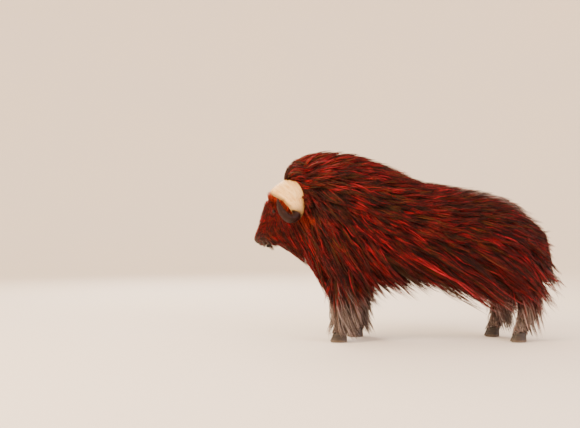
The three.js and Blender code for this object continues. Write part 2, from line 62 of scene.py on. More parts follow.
def profile(*pairs):
    """A smooth curve through a few (place, value) pairs."""
    place, value = np.array(pairs, float).T
    slope = np.gradient(value, place)
    slope[1:-1] = (value[2:] - value[:-2]) / (place[2:] - place[:-2])

    def curve(at):
        at = np.clip(at, place[0], place[-1])
        i = np.clip(np.searchsorted(place, at, side="right") - 1, 0, len(place) - 2)
        span = place[i + 1] - place[i]
        t = (at - place[i]) / span
        lift = slope[i] * span * (t - 2 * t**2 + t**3) + slope[i + 1] * span * (t**3 - t**2)
        return value[i] + (value[i + 1] - value[i]) * (3 * t**2 - 2 * t**3) + lift

    return curve


def power(value, exponent):
    return np.sign(value) * np.abs(value) ** exponent


def ease(value, low, high):
    t = np.clip((value - low) / (high - low), 0, 1)
    return t * t * (3 - 2 * t)


def bell(value, centre, width):
    return np.exp(-(((value - centre) / width) ** 2))


def norm(vectors):
    return np.linalg.norm(vectors, axis=-1)


def unit(vectors):
    return vectors / np.maximum(norm(vectors)[..., None], 1e-9)


def spline(points):
    """A smooth line through a few points, with the place along it from 0 to 1."""
    points = np.array(points, float)
    ends = [2 * points[0] - points[1], 2 * points[-1] - points[-2]]
    knots = np.vstack([ends[0], points, ends[1]])
    gaps = np.sqrt(norm(np.diff(knots, axis=0)))

    def line(t):
        at = np.clip(np.atleast_1d(t), 0, 1) * (len(points) - 1)
        i = np.minimum(at.astype(int), len(points) - 2)
        w = (at - i)[:, None]
        a, b, c, d = (knots[i + k] for k in range(4))
        before, here, after = (gaps[i + k][:, None] for k in range(3))
        start = ((b - a) / before - (c - a) / (before + here) + (c - b) / here) * here
        stop = ((c - b) / here - (d - b) / (here + after) + (d - c) / after) * here
        return (
            b * (1 - 3 * w**2 + 2 * w**3)
            + c * (3 * w**2 - 2 * w**3)
            + start * (w - 2 * w**2 + w**3)
            + stop * (w**3 - w**2)
        )

    return line


trunk_top = profile(
    (-930, 1224), (-868, 1328), (-790, 1372), (-640, 1388), (-480, 1388), (-330, 1352),
    (-100, 1262), (60, 1178), (300, 1136), (600, 1082), (780, 1015), (985, 885),
)
trunk_bottom = profile(
    (-930, 880), (-820, 775), (-700, 655), (-560, 572), (-250, 560), (400, 585), (985, 620),
)
trunk_half = profile(
    (-930, 112), (-860, 130), (-780, 162), (-680, 232), (-560, 278),
    (-300, 305), (200, 325), (600, 305), (985, 240),
)
head_top = profile(
    (-25, -90), (60, -52), (140, -28), (215, 8), (300, 14), (400, 0), (470, -2), (540, -8), (572, -28),
)
head_bottom = profile(
    (-25, -215), (120, -262), (260, -275), (340, -245), (430, -188), (500, -152), (572, -118),
)
head_half = profile(
    (-25, 92), (120, 122), (230, 126), (300, 116), (380, 88), (450, 74), (520, 76), (572, 66),
)


def trunk_section(x):
    top = trunk_top(x)
    bottom = trunk_bottom(x)
    middle = bottom + BELLY_LEVEL * (top - bottom)
    rear = np.clip((x - RUMP_END + REAR_ROUND) / REAR_ROUND, 0, 1)
    rounding = (1 - rear**REAR_POWER) ** (1 / REAR_POWER)
    return middle, (top - middle) * rounding, (middle - bottom) * rounding, trunk_half(x) * rounding


def trunk_point(x, angle, reach=1.0):
    middle, up, down, half = trunk_section(x)
    rise = power(np.cos(angle), FULLNESS)
    y = reach * half * power(np.sin(angle), FULLNESS)
    return np.stack([x, y, middle + reach * np.where(rise > 0, up, down) * rise], -1)


def head_at(along, over, side, start=CROWN):
    along, over, side = np.broadcast_arrays(along, over, side)
    return start + along[..., None] * ALONG + over[..., None] * OVER + side[..., None] * ASIDE


def head_section(along):
    top, bottom = head_top(along), head_bottom(along)
    middle = bottom + (top - bottom) * HEAD_LEVEL
    return middle, top - middle, middle - bottom


def head_point(along, angle, reach=1.0):
    middle, above, below = head_section(along)
    up = power(np.cos(angle), HEAD_TOP_POWER)
    height = np.where(up > 0, above, below)
    narrow = np.where(up > 0, 1, 1 - 0.25 * up**2)
    width = head_half(along) * power(np.sin(angle), HEAD_SIDE_POWER) * narrow
    brow = bell(along, 262, 34) * np.maximum(np.cos(angle), 0) * np.abs(np.sin(angle))
    cheek = bell(along, 250, 70) * bell(np.abs(angle), 1.9, 0.4)
    over = middle + reach * (height * up + 16 * brow)
    return head_at(along, over, reach * (width + np.sign(angle) * (10 * brow + 8 * cheek)))


def head_ends(along):
    back = np.clip((HEAD_BACK + BACK_ROUND - along) / BACK_ROUND, 0, 1)
    nose = np.clip((along - HEAD_LENGTH + NOSE_ROUND) / NOSE_ROUND, 0, 1)
    return np.sqrt(np.maximum(1 - back**2, 0)) * np.maximum(1 - nose**3, 0) ** (1 / 2.2)


legs = {
    "foreleg_left": (-1, -505, -440, False),
    "foreleg_right": (1, -360, -400, False),
    "hindleg_left": (-1, 845, 770, True),
    "hindleg_right": (1, 715, 735, True),
}
SIDES = {"left": -1, "right": 1}
STANCE = 168
HOOF_TOP = 74
LIMB_STEPS = 48
fore_thick = profile((0, 96), (0.25, 84), (0.5, 62), (0.6, 58), (0.72, 40), (0.84, 46), (1, 47))
hind_thick = profile((0, 118), (0.22, 96), (0.42, 62), (0.5, 58), (0.66, 38), (0.86, 44), (1, 45))


def leg_line(side, hoof, hip, hind):
    if hind:
        line = [
            (hip - 40, -24, 690), (hip, -12, 560), (hoof + 62, 0, 410),
            (hoof + 38, 0, 260), (hoof + 14, 0, 130), (hoof, 0, HOOF_TOP),
        ]
    else:
        reach = hoof - hip
        line = [
            (hip, 6, 690), (hip + 0.4 * reach, 4, 520), (hip + 0.72 * reach, 0, 345),
            (hip + 0.86 * reach, 0, 220), (hoof + 4, 0, 120), (hoof - 4, 0, HOOF_TOP),
        ]
    return spline([(x, side * (STANCE + out), z) for x, out, z in line])


def limb(line, thick, length=1.12, width=0.9):
    """A limb's surface: its point at a place and an angle, and the nearest of these to a point."""
    samples = line(np.linspace(0, 1, LIMB_STEPS + 1))

    def point(t, angle, reach=1.0):
        radius = (reach * thick(t))[..., None]
        around = np.stack([length * np.sin(angle), width * np.cos(angle), 0 * angle], -1)
        return line(t) + radius * around

    def nearest(p):
        t = np.abs(p[:, 2:3] - samples[:, 2]).argmin(1)
        middle = samples[t]
        angle = np.arctan2((p[:, 0] - middle[:, 0]) / length, (p[:, 1] - middle[:, 1]) / width)
        return t / LIMB_STEPS, angle

    return point, nearest, 0.01, (0, 1)


leg_surfaces = {
    name: limb(leg_line(*shape), hind_thick if shape[3] else fore_thick) for name, shape in legs.items()
}
tail_surface = limb(
    spline([(930, 0, 870), (1010, 0, 830), (1052, 0, 740), (1070, 0, 650)]),
    profile((0, 52), (0.6, 42), (1, 12)),
    0.8,
    1.2,
)


def select(*pieces):
    """Selects only these pieces, the first of them as the active one."""
    bpy.ops.object.select_all(action="DESELECT")
    for piece in pieces:
        piece.select_set(True)
    bpy.context.view_layer.objects.active = pieces[0]


def add(operator, **settings):
    """The object that an operator adds."""
    bpy.ops.object.select_all(action="DESELECT")
    operator(**settings)
    return bpy.context.object


def edit(operator, **settings):
    """Runs an operator on the whole mesh of the active object."""
    bpy.ops.object.mode_set(mode="EDIT")
    bpy.ops.mesh.select_all(action="SELECT")
    operator(**settings)
    bpy.ops.object.mode_set(mode="OBJECT")


def corners(piece):
    """The corners of a mesh, in metres."""
    flat = np.empty(len(piece.data.vertices) * 3)
    piece.data.vertices.foreach_get("co", flat)
    return flat.reshape(-1, 3)


def place_corners(piece, points):
    """Puts the corners of a mesh at points in millimetres."""
    piece.data.vertices.foreach_set("co", (points / 1000).ravel())


def wrap(name, rings, sides, place):
    """A grid wrapped into a closed tube: place gives points by a share of the length and an angle."""
    piece = add(bpy.ops.mesh.primitive_grid_add, x_subdivisions=rings, y_subdivisions=sides, size=2)
    piece.name = name
    t, turn = corners(piece)[:, :2].T
    place_corners(piece, place((t + 1) / 2, turn * math.pi))
    edit(bpy.ops.mesh.remove_doubles, threshold=1e-5)
    edit(bpy.ops.mesh.normals_make_consistent, inside=False)
    return piece


def closed(t, rings):
    return np.clip(np.minimum(t, 1 - t) * rings, 0, 1)


def oval(name, centre, radii, turn=0.0):
    """A ball stretched along the head, over it and to its side, and swung outwards by turn."""
    piece = add(bpy.ops.mesh.primitive_uv_sphere_add, segments=32, ring_count=20, radius=1)
    piece.name = name
    along, side, over = (corners(piece) * radii).T
    swung = along * math.cos(turn) - side * math.sin(turn)
    side = along * math.sin(turn) + side * math.cos(turn)
    place_corners(piece, head_at(swung, over, side, centre))
    edit(bpy.ops.mesh.normals_make_consistent, inside=False)
    return piece


def finish_with(piece, kind, **settings):
    """Adds a modifier to a piece and applies it."""
    select(piece)
    made = piece.modifiers.new(kind.title(), kind)
    for key, value in settings.items():
        setattr(made, key, value)
    bpy.ops.object.modifier_apply(modifier=made.name)


def join(name, pieces):
    """Joins pieces into one object."""
    select(*pieces)
    bpy.ops.object.join()
    whole = bpy.context.object
    whole.name = name
    return whole


def fuse(name, pieces, voxel, rounds):
    """Joins closed pieces into one, remeshes it evenly and smooths it."""
    whole = join(name, pieces)
    finish_with(whole, "REMESH", mode="VOXEL", voxel_size=voxel)
    finish_with(whole, "SMOOTH", factor=0.5, iterations=rounds)
    return whole


def combine(piece, other, operation="DIFFERENCE"):
    """Cuts another piece out of this one, or adds it, and removes the other."""
    finish_with(piece, "BOOLEAN", operation=operation, object=other, solver="MANIFOLD")
    bpy.data.objects.remove(other)


EYE_ALONG = 296
EYE_OVER = -46
EYE_SIDE = 104
EYE_RADIUS = 21
EAR_LENGTH = 150
MOUTH_BACK = 470
MOUTH_LENGTH = 130
SOCKET = ((290, 84, -48), (54, 36, 44))
NOSTRIL_RIM = ((552, 44, -42), (26, 17, 20))
LOWER_LIP = ((522, 0, -126), (46, 46, 25))
EAR_ROOT = {side: head_at(118, -178, side * 104) for side in (-1, 1)}


def eye_at(side):
    return head_at(EYE_ALONG, EYE_OVER, side * EYE_SIDE)


def swelling(place, side, turn=0.0):
    (along, out, over), radii = place
    return oval("swelling", head_at(along, over, side * out), radii, side * turn)


ear_half = profile((0, 20), (0.2, 30), (0.5, 42), (0.8, 30), (0.95, 12), (1, 0))


def ear_frame(side):
    """The ear's directions: along it, out of its open front and across it."""
    out = unit(np.array([0.42, side * 0.86, -0.16]))
    front = np.array([-0.72, side * 0.3, -0.62])
    front = unit(front - out * (front @ out))
    return out, front, np.cross(front, out)


def ear(side):
    """A cupped leaf: its front is pressed in, and its tip is rounded."""
    out, front, across = ear_frame(side)

    def place(t, angle):
        width = ear_half(t) * np.sin(angle)
        dish = np.where(np.cos(angle) > 0, -1.1, -0.7)
        thick = ear_half(t) * 0.34 * np.cos(angle) + 0.3 * (ear_half(t) - np.abs(width)) * dish
        return (
            EAR_ROOT[side]
            + (t * EAR_LENGTH - 4)[:, None] * out
            + (width * closed(t, 24))[:, None] * across
            + (thick * closed(t, 24))[:, None] * front
        )

    return wrap("ear", 24, 28, place)


def lids(side):
    """A fold of skin round the eye, drawn into points at its front and back corners."""
    piece = add(
        bpy.ops.mesh.primitive_torus_add,
        major_segments=48, minor_segments=14, major_radius=1, minor_radius=0.27,
    )
    x, y, z = corners(piece).T * (EYE_RADIUS + 3)
    upper = y > 0
    over = y * np.where(upper, 0.66, 0.6)
    side_at = side * (EYE_SIDE + 11 + z - np.abs(x) ** 2 * 0.006 + np.where(upper, 2, 0))
    place_corners(piece, head_at(EYE_ALONG + x * 1.3, EYE_OVER + over, side_at))
    return piece


def trunk_place(t, angle):
    return trunk_point(CROWN_FRONT + t * (RUMP_END - CROWN_FRONT), angle, closed(t, 90))


skin = fuse(
    "skin",
    [
        wrap("trunk", 90, 64, trunk_place),
        wrap("tail_root", 24, 20, lambda t, a: tail_surface[0](t, a, closed(t, 24))),
        *[wrap(name, 48, 24, lambda t, a: leg_surfaces[name][0](t, a, closed(t, 48))) for name in legs],
    ],
    0.013,
    6,
)


def skull_place(t, angle):
    along = HEAD_BACK + (HEAD_LENGTH - HEAD_BACK) * (0.5 - 0.5 * np.cos(math.pi * t))
    return head_point(along, angle, head_ends(along))


face = fuse(
    "face",
    [
        wrap("skull", 110, 72, skull_place),
        *[swelling(SOCKET, side) for side in (-1, 1)],
        *[swelling(NOSTRIL_RIM, side, 0.4) for side in (-1, 1)],
        swelling(LOWER_LIP, 1),
        *[lids(side) for side in (-1, 1)],
        *[ear(side) for side in (-1, 1)],
    ],
    0.004,
    5,
)
for side in (-1, 1):
    combine(face, oval("nostril", head_at(566, -42, side * 45), (22, 10, 12), side * 0.55))
    combine(face, oval("eye_room", eye_at(side), [EYE_RADIUS] * 3))


def mouth_line(t):
    """How high the line of the mouth lies over the head's own line, at a share of its length."""
    return -152 + 56 * t**0.8


def mouth_place(t, angle):
    over = mouth_line(t) + 2 * np.cos(angle) * closed(t, 20)
    return head_at(MOUTH_BACK + t * MOUTH_LENGTH, over, 120 * np.sin(angle) * closed(t, 20))


combine(face, wrap("mouth", 20, 24, mouth_place))
combine(skin, face, "UNION")
select(skin)
bpy.ops.object.shade_smooth()


def markings(points):
    """Where the coat is frosted, orange or darker, and the muzzle bare, at points in millimetres."""
    x, y, z = points.T
    head = points - CROWN
    along = head @ ALONG
    over = head @ OVER
    legs_frost = 1 - ease(z, 110, 540 - 60 * ease(x, 0, 500))
    back_frost = ease(x, 100, 650) * ease(z - trunk_top(np.clip(x, 100, 985)), -50, 30)
    rear_frost = 0.55 * ease(x, 980, 1130)
    frost = np.clip(np.maximum(np.maximum(legs_frost, 0.78 * back_frost), rear_frost), 0, 1)
    edge = (along - 198) + 0.2 * (over + 40)
    ember = bell(edge, 0, 42) * (over < 60) * (over > -260) * (x < -780)
    behind_horn = bell(x, -735, 62) * bell(z, 905, 36) * (np.abs(y) > 90)
    ember = np.maximum(ember, 0.7 * behind_horn)
    muzzle = ease(along, 478, 560) * (np.abs(y) < 120) * (x < -1020)
    shade = bell(x, -610, 170) * bell(z, 1030, 120)
    return {"frost": frost, "ember": ember, "muzzle": muzzle, "shade": shade}


def note(piece, **numbers):
    """Writes numbers for the corners of a piece as attributes of its mesh."""
    for name, values in numbers.items():
        made = piece.data.attributes.new(name, "FLOAT", "POINT")
        made.data.foreach_set("value", np.ascontiguousarray(values, np.float32))


def mark(piece, points, **more):
    """Writes the markings of a piece's points, and any other numbers, as attributes."""
    note(piece, **markings(points), **more)


class Socket:
    """An output of a shader node: arithmetic on it adds Math nodes, and node adds any other."""

    def __init__(self, tree, output=None):
        self.tree = tree
        self.output = output

    def node(self, kind, settings=None, sockets=None, outlet=0):
        made = self.tree.nodes.new("ShaderNode" + kind)
        for key, value in (settings or {}).items():
            if key == "stops":
                for _ in range(len(value) - 2):
                    made.color_ramp.elements.new(0.5)
                for stop, (place, colour) in zip(made.color_ramp.elements, value):
                    stop.position = place
                    stop.color = paint(colour)
            else:
                setattr(made, key, value)
        for key, value in (sockets or {}).items():
            if isinstance(value, Socket):
                self.tree.links.new(value.output, made.inputs[key])
            else:
                made.inputs[key].default_value = value
        return Socket(self.tree, made.outputs[outlet])

    def math(self, operation, *values):
        return self.node("Math", {"operation": operation}, dict(enumerate(values)))

    def __add__(self, other):
        return self.math("ADD", self, other)

    def __mul__(self, other):
        return self.math("MULTIPLY", self, other)

    __rmul__ = __mul__

    def __sub__(self, other):
        return self.math("SUBTRACT", self, other)

    def __rsub__(self, other):
        return self.math("SUBTRACT", other, self)

    def __pow__(self, other):
        return self.math("POWER", self, other)

    def between(self, low, high):
        """0 below low, 1 above high and smooth between."""
        sockets = {"Value": self, "From Min": low, "From Max": high}
        return self.node("MapRange", {"interpolation_type": "SMOOTHSTEP"}, sockets)

    def tint(self, *colours):
        """A mix of two colours, each a socket or six web digits, by this share."""
        ends = [colour if isinstance(colour, Socket) else paint(colour) for colour in colours]
        return self.node("Mix", {"data_type": "RGBA"}, {0: self, 6: ends[0], 7: ends[1]}, 2)


def paint(code):
    """A colour from its six web digits, as the shaders take it."""
    values = [int(code[i : i + 2], 16) / 255 for i in (0, 2, 4)]
    return tuple(v / 12.92 if v <= 0.04045 else ((v + 0.055) / 1.055) ** 2.4 for v in values) + (1.0,)


def material(name, roughness, **fixed):
    """A new material, a blank socket to start its nodes from, and its main shader."""
    made = bpy.data.materials.new(name)
    made.use_nodes = True
    shader = made.node_tree.nodes["Principled BSDF"]
    shader.inputs["Roughness"].default_value = roughness
    for key, value in fixed.items():
        shader.inputs[key.replace("_", " ")].default_value = value
    return made, Socket(made.node_tree), shader


def feed(shader, name, socket):
    socket.tree.links.new(socket.output, shader.inputs[name])


def bump(shader, strength, distance, height):
    sockets = {"Strength": strength, "Distance": distance, "Height": height}
    feed(shader, "Normal", height.node("Bump", sockets=sockets))


def number(blank, name):
    return blank.node("Attribute", {"attribute_name": name}, outlet=2)


def place_on(blank):
    return blank.node("TexCoord", outlet=3)


def noise(blank, scale, detail=2.0, stretch=None):
    where = place_on(blank)
    if stretch:
        where = blank.node("Mapping", sockets={"Vector": where, "Scale": stretch})
    return blank.node("TexNoise", sockets={"Vector": where, "Scale": scale, "Detail": detail})


coat_stops = (
    (0.0, "120302"), (0.25, "2b0704"), (0.5, "4c0b08"),
    (0.72, "720a12"), (0.88, "980b1c"), (1.0, "b81628"),
)


def coat_colour(blank, tone, hue):
    """Hair that is near black to crimson by its tone, olive by its hue, frosted or orange by place."""
    patch = noise(blank, 2.6)
    stroke = noise(blank, 1.0, 2.0, (8.0, 30.0, 34.0))
    shade = tone + (patch - 0.53) * 0.7 + (stroke - 0.5) * 0.75 - number(blank, "shade") * 0.3
    colour = blank.node("ValToRGB", {"stops": coat_stops}, {"Fac": shade})
    olive = (1.0 - hue.between(0.2, 0.4)) * 0.8
    colour = olive.tint(colour, tone.tint("1c1003", "603c12"))
    frosted = tone.tint("453530", "cdbfb6")
    frost = (number(blank, "frost") - 0.9 * (1.0 - hue)).between(0.0, 0.55)
    colour = (frost * 0.72).tint(colour, frosted)
    orange = tone.tint("5a0c02", "d23c0e")
    colour = (number(blank, "ember") * hue.between(0.0, 0.5)).tint(colour, orange)
    return (number(blank, "muzzle") * hue.between(0.45, 0.8)).tint(colour, "6a5f58")


skin_look, blank, shader = material("hide", 0.6, Specular_IOR_Level=0.15)
grain = noise(blank, 60.0, 4.0)
# The hide takes a low tone, darker than the coat. This is partly the face's own dark short hair and
# partly painted shade in the gaps between the locks.
hide = coat_colour(blank, grain * 0.45 + number(blank, "lid") * 0.3, grain)
nose = noise(blank, 38.0, 3.0).between(0.5, 0.72).tint("120a08", "463c37")
feed(shader, "Base Color", number(blank, "muzzle").tint(hide, nose))
sockets = {"Vector": place_on(blank), "Scale": 160.0}
pebbles = blank.node("TexVoronoi", {"feature": "DISTANCE_TO_EDGE"}, sockets)
bump(shader, 0.5, 0.0015, pebbles + grain * 0.6)
# The unions leave an empty material slot, which is cleared first.
skin.data.materials.clear()
skin.data.materials.append(skin_look)
points = corners(skin) * 1000
from_eye = (points - eye_at(np.sign(points[:, 1]))) * [1, 0.5, 1]
mark(skin, points, lid=bell(norm(from_eye), 0, 40))
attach(skin, "root")
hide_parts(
    "head", "neck", "torso", "tail", "ear_left", "ear_right",
    *[f"{name}_{part}" for name in legs for part in ("upper", "lower")],
)

# Eyes: dark wet balls with a brown iris and a level slit of a pupil, deep in the lids.
# Each is one ball, and its rings of colour run round the line that it looks along.
for word, side in SIDES.items():
    centre = eye_at(side)
    eye = oval(f"eyeball_{word}", centre, [EYE_RADIUS - 0.2] * 3)
    bpy.ops.object.shade_smooth()
    look, blank, shader = material(
        f"eye_{word}", 0.3, Specular_IOR_Level=0.1, Coat_Weight=0.3, Coat_Roughness=0.03
    )
    shift = [-v / 1000 for v in centre]
    moved = blank.node("Mapping", sockets={"Vector": place_on(blank), "Location": shift})
    sides = [blank.node("SeparateXYZ", sockets={"Vector": moved}, outlet=k) for k in range(3)]
    across = (sides[0] ** 2.0 + sides[2] ** 2.0) ** 0.5
    iris = across.between(0.0115, 0.0135)
    slit = ((sides[0] * 0.6) ** 2.0 + (sides[2] * 1.3) ** 2.0) ** 0.5
    pupil = slit.between(0.0045, 0.0062)
    brown = noise(blank, 300.0).tint("180903", "2e1408")
    colour = iris.tint(pupil.tint("020101", brown), "0c0504")
    feed(shader, "Base Color", colour)
    eye.data.materials.append(look)
    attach(eye, "root")
    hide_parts(f"eye_{word}")

# Horns: a broad cream boss over the crown, fibrous and grooved, that tapers down past the eye.
# Each is one swept tube: it hooks forward and up into a smooth point, which is darker.
horn_path = (
    (100, -14, 2.5), (98, -20, 60), (104, -60, 128), (128, -122, 172), (182, -182, 194),
    (246, -212, 222), (286, -180, 264), (276, -116, 298), (238, -62, 316), (196, -28, 322),
)
horn_line = spline([head_at(*place) for place in horn_path])
horn_width = profile(
    (0, 108), (0.2, 106), (0.36, 86), (0.5, 62), (0.65, 42), (0.8, 28), (0.93, 13), (1, 3),
)
horn_depth = profile(
    (0, 34), (0.15, 40), (0.3, 38), (0.5, 34), (0.65, 30), (0.8, 22), (0.93, 11), (1, 3),
)


def horn_core(side):
    """Points inside the head that the horns stand out from, by their distance to the side."""
    return head_at(150, -110, side * 0.6)


def horn_place(t, angle):
    centre = horn_line(t)
    level = (1 - ease(t, 0.04, 0.2))[:, None]
    tangent = unit(horn_line(t + 0.002) - horn_line(t - 0.002))
    tangent = unit(tangent * (1 - level) + ASIDE * level)
    outward = centre - horn_core(centre[:, 1])
    outward = unit(outward - tangent * np.sum(outward * tangent, 1, keepdims=True))
    across = np.cross(tangent, outward)
    groove = 1 + 0.014 * np.sin(angle * 19 + 3 * np.sin(t * 7)) * (1 - ease(t, 0.45, 0.8))
    groove = groove + 0.01 * np.sin(angle * 7 + 5 * t) * (1 - ease(t, 0.3, 0.6))
    reach = closed(t, 150) * groove
    wide = (reach * horn_width(t) * power(np.sin(angle), 0.9))[:, None]
    high = (reach * horn_depth(t) * power(np.cos(angle), 0.9))[:, None]
    return centre + across * wide + outward * high


for word, side in SIDES.items():
    horn = wrap(f"horn_{word}_grown", 150, 96, lambda t, a: horn_place(t, a) * [1, side, 1])
    bpy.ops.object.shade_smooth()
    points = corners(horn) * 1000
    shares = np.linspace(0, 1, 200)
    samples = horn_line(shares) * [1, side, 1]
    nearest_share = norm(points[:, None] - samples).argmin(1)
    off = points - samples[nearest_share]
    around = np.sum(unit(off) * unit(horn_core(points[:, 1]) - points), 1)
    from_rim = norm(off) / horn_width(shares[nearest_share])
    note(horn, share=shares[nearest_share], around=around, rim=from_rim)
    look, blank, shader = material(f"horn_{word}", 0.5, Specular_IOR_Level=0.18)
    share = number(blank, "share")
    rim = number(blank, "rim")
    drawn_out = {0: share * 2.2, 1: rim * 7.0, 2: number(blank, "around") * 5.0}
    lengthwise = blank.node("CombineXYZ", sockets=drawn_out)
    fibre = blank.node("TexNoise", sockets={"Vector": lengthwise, "Scale": 3.2, "Detail": 6.0})
    cream = fibre.between(0.3, 0.66).tint("e2ac60", "fbd290")
    cream = (noise(blank, 7.0, 3.0).between(0.48, 0.78) * 0.3).tint(cream, "b07f3e")
    edge = rim.between(0.86, 1.0) * (1.0 - share.between(0.4, 0.55))
    cream = (edge * 0.75).tint(cream, "51361d")
    tip = (share + (fibre - 0.5) * 0.08).between(0.43, 0.57)
    feed(shader, "Base Color", tip.tint(cream, fibre.tint("120503", "2e1009")))
    bump(shader, 0.6, 0.004, fibre)
    horn.data.materials.append(look)
    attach(horn, "root")
    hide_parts(f"horn_{word}")

# Hooves: two broad rounded claws on each foot, dark horn with growth rings, worn paler at the ground.
# Two small dew claws of the same horn stand on the back of each pastern.
CLAW_LONG = 62
CLAW_WIDE = 28
CLAW_APART = 30
CLAW_LEAN = 14
hoof_look, blank, shader = material("hoof_horn", 0.48)
rings = noise(blank, 16.0, 3.0, (1.0, 1.0, 12.0))
worn = blank.node("SeparateXYZ", sockets={"Vector": place_on(blank)}, outlet=2).between(0.0, 0.03)
dark_horn = rings.between(0.35, 0.7).tint("17110e", "3a2d25")
feed(shader, "Base Color", worn.tint("5a4a3c", dark_horn))
bump(shader, 0.5, 0.0015, rings)

for name, (leg_side, hoof, _, hind) in legs.items():
    size = 0.9 if hind else 1.0
    for word, sign in (("outer", leg_side), ("inner", -leg_side)):

        def claw_place(t, angle):
            narrow = (1 - 0.28 * t) * closed(t, 20) ** 0.5
            toe = 1 + 0.06 * np.maximum(np.cos(angle), 0) * (1 - t)
            x = hoof - CLAW_LEAN * size + CLAW_LEAN * t
            y = leg_side * STANCE + sign * CLAW_APART * size
            x = x - np.cos(angle) * CLAW_LONG * size * narrow * toe
            y = y + np.sin(angle) * CLAW_WIDE * size * narrow
            return np.stack([x, y, t * (HOOF_TOP - 0.4)], -1)

        claw = wrap(f"{name}_claw_{word}", 20, 32, claw_place)
        bpy.ops.object.shade_smooth_by_angle(angle=math.radians(50))
        claw.data.materials.append(hoof_look)
        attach(claw, "root")
        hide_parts(f"{name}_hoof_{word}")
    dews = []
    for apart in (-22, 22):
        dew = add(bpy.ops.mesh.primitive_uv_sphere_add, segments=16, ring_count=10, radius=1)
        points = corners(dew) * [17, 11, 21]
        points[:, 0] += 0.25 * np.abs(points[:, 2])
        place_corners(dew, points + [hoof + 47, leg_side * STANCE + apart, 104])
        dews.append(dew)
    dew = join(f"{name}_dew_claws", dews)
    bpy.ops.object.shade_smooth()
    dew.data.materials.append(hoof_look)
    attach(dew, "root")

# Coat: long guard hair over neck and trunk, blown back by the wind and hanging in a skirt.
# Each tuft is a thin closed spindle. Tufts share the path of a guide hair and so gather into locks.
chance = np.random.default_rng(43)
drop_by_level = profile((0, 2), (0.2, 10), (0.45, 20), (0.7, 30), (1, 38), (1.3, 44))
shoulder_drop = profile((-900, 20), (-600, 26), (-350, 20), (-100, 8), (300, 0))
back_drop = profile(
    (-880, -42), (-780, -24), (-660, -6), (-520, 0), (-320, 10),
    (-120, 17), (60, 12), (260, 5), (600, 5), (760, 10),
)
rump_drop = profile((640, 0), (800, 10), (925, 28), (1010, 40), (1100, 46))
hem = profile(
    (-1000, 700), (-862, 627), (-747, 554), (-660, 400), (-580, 240), (-500, 190), (-330, 170),
    (-215, 220), (-94, 300), (160, 345), (390, 335), (500, 270), (600, 200), (870, 185),
    (1030, 195), (1100, 290), (1170, 430),
)
SIDE_LIMIT = 388
REAR_LIMIT = 1125
LOWEST_TIP = 5
FLATNESS = 0.6
TONE_SPREAD = 0.21
BAKE_PATCH = 0.003
CELLS = 120
hair_taper = profile((0, 0.55), (0.12, 0.95), (0.4, 1), (0.75, 0.62), (1, 0.04))


def trunk_nearest(p):
    x = np.clip(p[:, 0], CROWN_FRONT + 5, RUMP_END - 5)
    middle, up, down, half = trunk_section(x)
    rise = (p[:, 2] - middle) / np.where(p[:, 2] > middle, up, down)
    return x, np.arctan2(power(p[:, 1] / half, 1 / FULLNESS), power(rise, 1 / FULLNESS))


trunk_surface = (trunk_point, trunk_nearest, 3.0, (CROWN_FRONT, RUMP_END))


def normal_at(surface, place, angle):
    point, _, step, _ = surface
    at = point(place, angle)
    ahead = point(place + step, angle) - point(place - step, angle)
    about = point(place, angle + 0.02) - point(place, angle - 0.02)
    out = unit(np.cross(ahead, about))
    away = np.sum(out * (at - point(place, angle + math.pi)), -1, keepdims=True)
    return np.where(away < 0, -out, out)


def scatter(surface, low, high, count):
    """Roots spread evenly by area over part of a surface."""
    places = np.linspace(low, high, CELLS + 1)
    turns = np.linspace(-math.pi, math.pi, CELLS + 1)
    grid = surface[0](*[v.ravel() for v in np.meshgrid(places, turns, indexing="ij")])
    grid = grid.reshape(CELLS + 1, CELLS + 1, 3)
    sides = grid[1:, :-1] - grid[:-1, :-1], grid[:-1, 1:] - grid[:-1, :-1]
    area = norm(np.cross(*sides)).ravel()
    cells = chance.choice(area.size, count, p=area / area.sum())
    i = cells // CELLS + chance.random(count)
    j = cells % CELLS + chance.random(count)
    return low + (high - low) * i / CELLS, (2 * j / CELLS - 1) * math.pi


def comb(surface, root, out, length, depth, flow, steps=9, sunk=8.0, free=False, swell=None):
    """Guide hairs: each follows the flow from its root over the body, and hangs free past it."""
    at = root - out * sunk
    path = [at]
    for k in range(steps):
        along = unit(flow(at, k / steps))
        if not free:
            along = unit(along - out * np.minimum(np.sum(along * out, 1, keepdims=True), 0))
        at = at + along * (length / steps)[:, None]
        if not free:
            where = surface[1](at)
            out = normal_at(surface, *where)
            height = np.sum((at - surface[0](*where)) * out, 1)
            above = -sunk + (depth + sunk) * ease((k + 1) / steps, 0, 0.8) - height
            settled = 0.22 * np.minimum(above, 0) * ease(out[:, 2], -0.1, 0.5)
            at = at + out * (np.maximum(above, 0) + settled)[:, None]
        if swell:
            at = swell(at)
        path.append(at)
    return np.stack(path, 1)


def horn_seat(p):
    """How far points lie beside and over the horns' middle line, its surface there, and the way out."""
    shares = np.linspace(0.0, 0.5, 50)
    samples = horn_line(shares)
    mirror = np.where(p[:, 1:2] < 0, [1.0, -1.0, 1.0], 1.0)
    offset = (p * mirror)[:, None] - samples
    nearest = norm(offset).argmin(1)
    offset = offset[np.arange(len(p)), nearest]
    outward = unit(samples - horn_core(samples[:, 1]))[nearest]
    height = np.sum(offset * outward, 1)
    beside = norm(offset - outward * height[:, None]) / horn_width(shares[nearest])
    top = horn_depth(shares[nearest]) * np.sqrt(np.maximum(1 - beside**2, 0))
    return beside, height, top, outward * mirror


def under_horns(path):
    """Keeps tufts that are rooted under the horns' broad part below it until they are past it."""
    _, height, top, _ = horn_seat(path[:, 0])
    covered = height < top + 2
    points = path[covered].reshape(-1, 3)
    beside, height, _, outward = horn_seat(points)
    sunk = np.maximum(height + 14, 0) * (1 - ease(beside, 0.8, 0.98))
    path[covered] = (points - outward * sunk[:, None]).reshape(-1, path.shape[1], 3)
    return path


